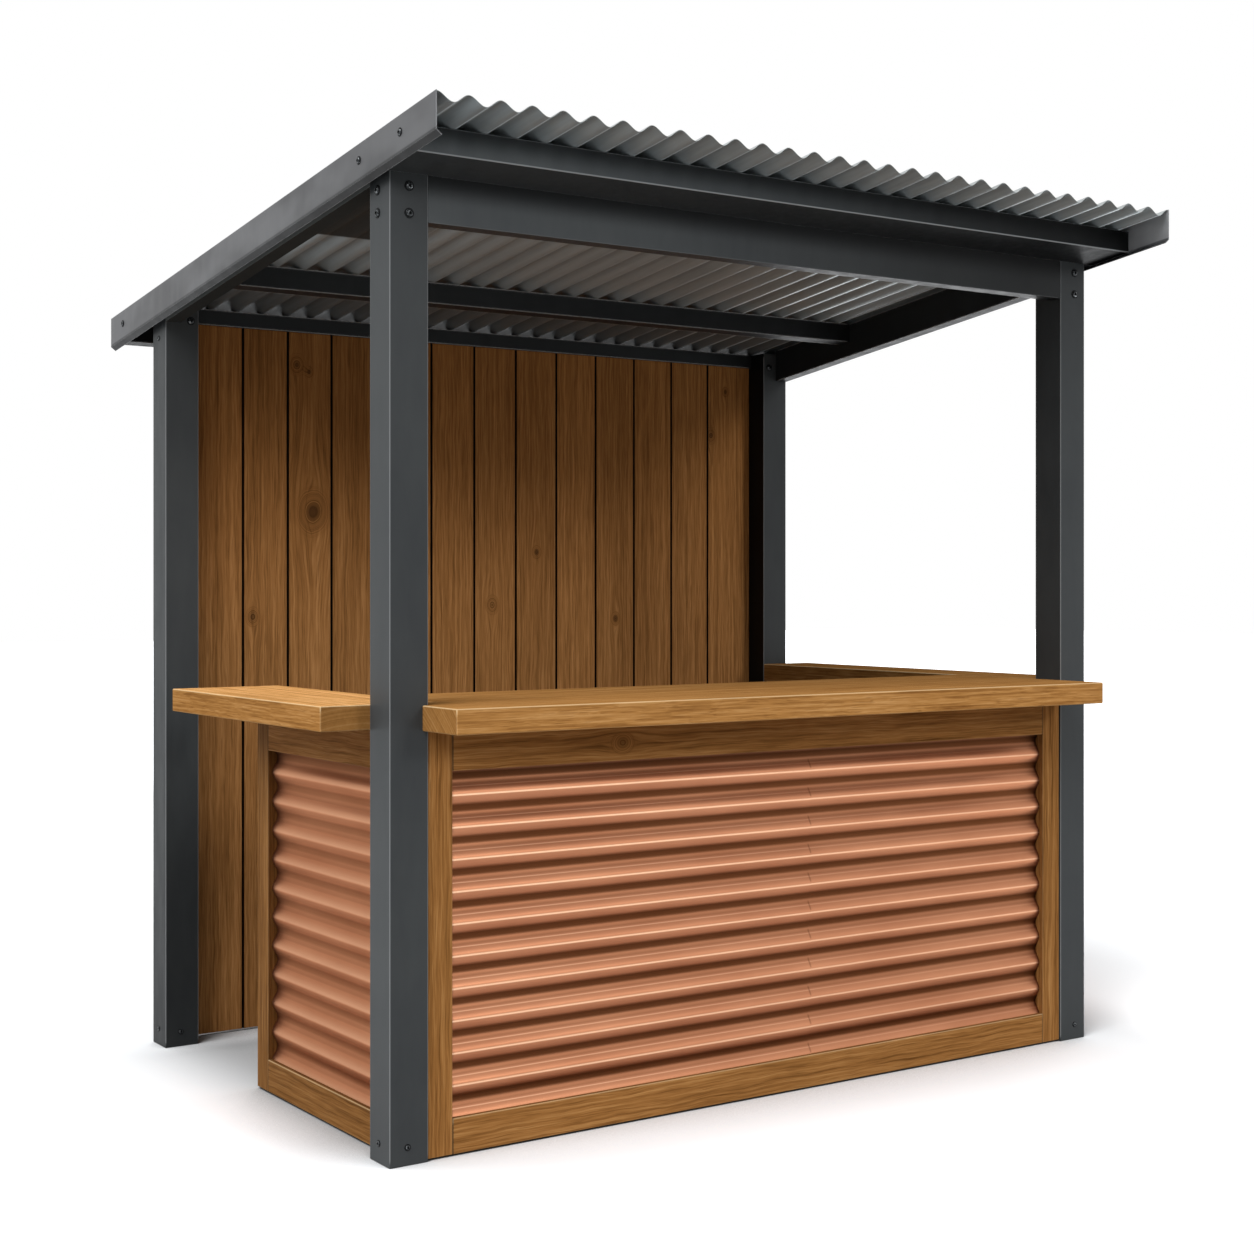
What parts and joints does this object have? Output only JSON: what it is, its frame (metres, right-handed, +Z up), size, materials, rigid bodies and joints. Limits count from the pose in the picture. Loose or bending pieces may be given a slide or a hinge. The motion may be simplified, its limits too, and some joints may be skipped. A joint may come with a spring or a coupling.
{
  "type": "outdoor bar stall",
  "caption": "Free-standing outdoor bar stall: a lean-to corrugated roof on square posts, a boarded back wall and a three-sided timber counter over framed corrugated copper.",
  "frame": {"origin": "on the floor under the middle of the bounding box", "axes": "+Z up, the bar's front faces -Y, +X along the front bar towards the closed side"},
  "size_m": [2.527, 2.044, 2.41],
  "materials": {
    "powder_coated_steel": "satin anthracite powder coat",
    "roof_sheet": "satin dark grey coating on rolled sheet",
    "wall_timber": "oiled, dark stain",
    "frame_timber": "oiled",
    "counter_timber": "oiled",
    "copper": "bright rolled copper"
  },
  "bodies": {
    "root": {"front_left_post": "powder_coated_steel", "front_right_post": "powder_coated_steel", "rear_left_post": "powder_coated_steel", "rear_right_post": "powder_coated_steel", "front_beam": "powder_coated_steel", "rear_beam": "powder_coated_steel", "left_rafter": "powder_coated_steel", "right_rafter": "powder_coated_steel", "front_purlin": "powder_coated_steel", "middle_purlin": "powder_coated_steel", "rear_purlin": "powder_coated_steel", "left_barge_board": "powder_coated_steel", "right_barge_board": "powder_coated_steel", "roof_sheet": "roof_sheet", "back_wall": "wall_timber", "upper_wall_rail": "wall_timber", "middle_wall_rail": "wall_timber", "lower_wall_rail": "wall_timber", "front_left_stile": "frame_timber", "front_right_stile": "frame_timber", "front_top_rail": "frame_timber", "front_bottom_rail": "frame_timber", "left_front_stile": "frame_timber", "left_rear_stile": "frame_timber", "left_top_rail": "frame_timber", "left_bottom_rail": "frame_timber", "right_front_stile": "frame_timber", "right_rear_stile": "frame_timber", "right_top_rail": "frame_timber", "right_bottom_rail": "frame_timber", "front_counter": "counter_timber", "left_counter": "counter_timber", "right_counter": "counter_timber", "front_left_sheet": "copper", "front_right_sheet": "copper", "left_sheet": "copper", "right_sheet": "copper"}
  },
  "joints": []
}
